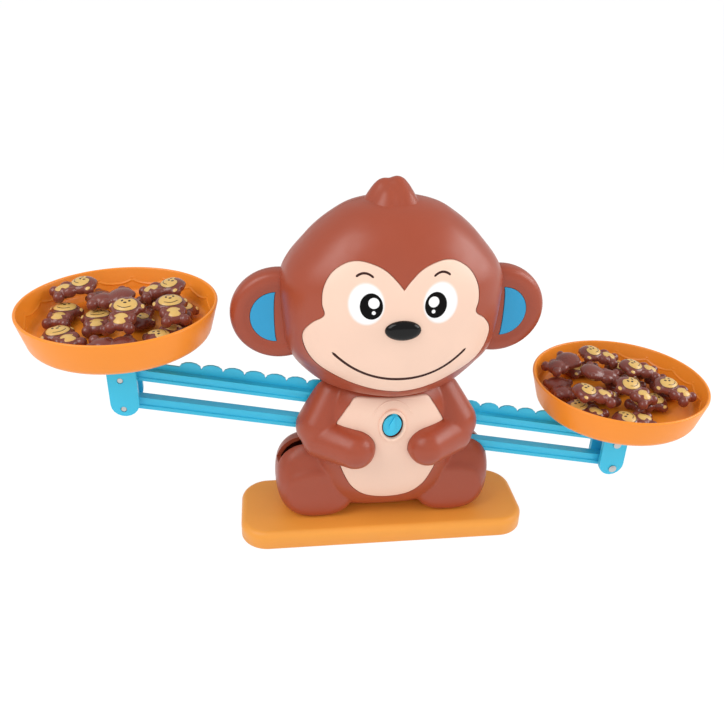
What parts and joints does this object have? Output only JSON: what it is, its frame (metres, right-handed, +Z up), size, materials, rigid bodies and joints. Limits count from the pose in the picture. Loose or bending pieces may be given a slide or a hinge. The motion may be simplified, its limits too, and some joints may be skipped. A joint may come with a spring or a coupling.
{
  "type": "balance toy",
  "caption": "Tabletop balance toy: a seated monkey body carries parallel pivoting beams, with round bowls of small monkey-shaped counters at the ends.",
  "frame": {"origin": "middle of the base's underside, on the surface it stands on", "axes": "+Z up, +X towards the toy's left-hand bowl seen from behind it, which is the right-hand bowl seen from the front; the face looks along -Y"},
  "size_m": [0.3997, 0.1056, 0.2213],
  "materials": {
    "brown_plastic": "semi-gloss moulded",
    "pale_plastic": "satin moulded",
    "orange_plastic": "satin moulded",
    "bowl_plastic": "semi-gloss moulded",
    "blue_plastic": "satin moulded",
    "ear_blue_plastic": "satin moulded",
    "black_plastic": "high gloss",
    "counter_plastic": "glossy, printed",
    "steel": "zinc plated"
  },
  "bodies": {
    "body": {"base_plate": "orange_plastic", "base_screw_left": "steel", "base_screw_right": "steel", "body_front_shell": "brown_plastic", "body_back_shell": "brown_plastic", "belly_panel": "pale_plastic", "body_screw_left": "steel", "body_screw_right": "steel", "head_front_shell": "brown_plastic", "head_back_shell": "brown_plastic", "face_panel": "pale_plastic", "nose": "black_plastic", "ear_insert_left": "ear_blue_plastic", "ear_insert_right": "ear_blue_plastic", "head_screw_left": "steel", "head_screw_right": "steel", "upper_axle": "steel", "lower_axle": "steel"},
    "upper_beam": {"upper_beam": "blue_plastic", "tilt_pointer": "blue_plastic"},
    "lower_beam": {"lower_beam": "blue_plastic"},
    "bracket_left": {"bracket_left": "blue_plastic", "pan_left": "bowl_plastic", "upper_pin_left": "steel", "lower_pin_left": "steel", "counter_left_01": "counter_plastic", "counter_left_02": "counter_plastic", "counter_left_03": "counter_plastic", "counter_left_04": "counter_plastic", "counter_left_05": "counter_plastic", "counter_left_06": "counter_plastic", "counter_left_07": "counter_plastic", "counter_left_08": "counter_plastic", "counter_left_09": "counter_plastic", "counter_left_10": "counter_plastic", "counter_left_14": "counter_plastic"},
    "counter_left_11": {"counter_left_11": "counter_plastic"},
    "counter_left_12": {"counter_left_12": "counter_plastic"},
    "counter_left_13": {"counter_left_13": "counter_plastic"},
    "bracket_right": {"bracket_right": "blue_plastic", "pan_right": "bowl_plastic", "upper_pin_right": "steel", "lower_pin_right": "steel", "counter_right_01": "counter_plastic", "counter_right_02": "counter_plastic", "counter_right_03": "counter_plastic", "counter_right_04": "counter_plastic", "counter_right_05": "counter_plastic", "counter_right_06": "counter_plastic", "counter_right_07": "counter_plastic", "counter_right_08": "counter_plastic", "counter_right_09": "counter_plastic", "counter_right_10": "counter_plastic", "counter_right_12": "counter_plastic", "counter_right_15": "counter_plastic", "counter_right_16": "counter_plastic"},
    "counter_right_11": {"counter_right_11": "counter_plastic"},
    "counter_right_13": {"counter_right_13": "counter_plastic"},
    "counter_right_14": {"counter_right_14": "counter_plastic"}
  },
  "joints": [
    {"name": "beam_tilt", "type": "hinge", "parent": "body", "child": "upper_beam", "pos_m": [0, 0, 0.086], "axis": [0, 1, 0], "range_deg": [-22.2, 0]},
    {"name": "lower_beam_tilt", "type": "hinge", "parent": "body", "child": "lower_beam", "pos_m": [0, 0, 0.0677], "axis": [0, 1, 0], "range_deg": [-22.2, 0]},
    {"name": "bracket_left_swing", "type": "hinge", "parent": "upper_beam", "child": "bracket_left", "pos_m": [-0.15061, 0, 0.11045], "axis": [0, 1, 0], "range_deg": [0, 22.2]},
    {"name": "counter_left_11_lift", "type": "slide", "parent": "bracket_left", "child": "counter_left_11", "axis": [0, 0, 1], "range_m": [0, 0.03]},
    {"name": "counter_left_12_lift", "type": "slide", "parent": "bracket_left", "child": "counter_left_12", "axis": [0, 0, 1], "range_m": [0, 0.03]},
    {"name": "counter_left_13_lift", "type": "slide", "parent": "bracket_left", "child": "counter_left_13", "axis": [0, 0, 1], "range_m": [0, 0.03]},
    {"name": "bracket_right_swing", "type": "hinge", "parent": "upper_beam", "child": "bracket_right", "pos_m": [0.14868, 0, 0.05173], "axis": [0, 1, 0], "range_deg": [0, 22.2]},
    {"name": "counter_right_11_lift", "type": "slide", "parent": "bracket_right", "child": "counter_right_11", "axis": [0, 0, 1], "range_m": [0, 0.03]},
    {"name": "counter_right_13_lift", "type": "slide", "parent": "bracket_right", "child": "counter_right_13", "axis": [0, 0, 1], "range_m": [0, 0.03]},
    {"name": "counter_right_14_lift", "type": "slide", "parent": "bracket_right", "child": "counter_right_14", "axis": [0, 0, 1], "range_m": [0, 0.03]}
  ],
  "couplings": [
    {"joint": "lower_beam_tilt", "follows": "beam_tilt", "ratio": 1},
    {"joint": "bracket_left_swing", "follows": "beam_tilt", "ratio": -1},
    {"joint": "bracket_right_swing", "follows": "beam_tilt", "ratio": -1}
  ]
}
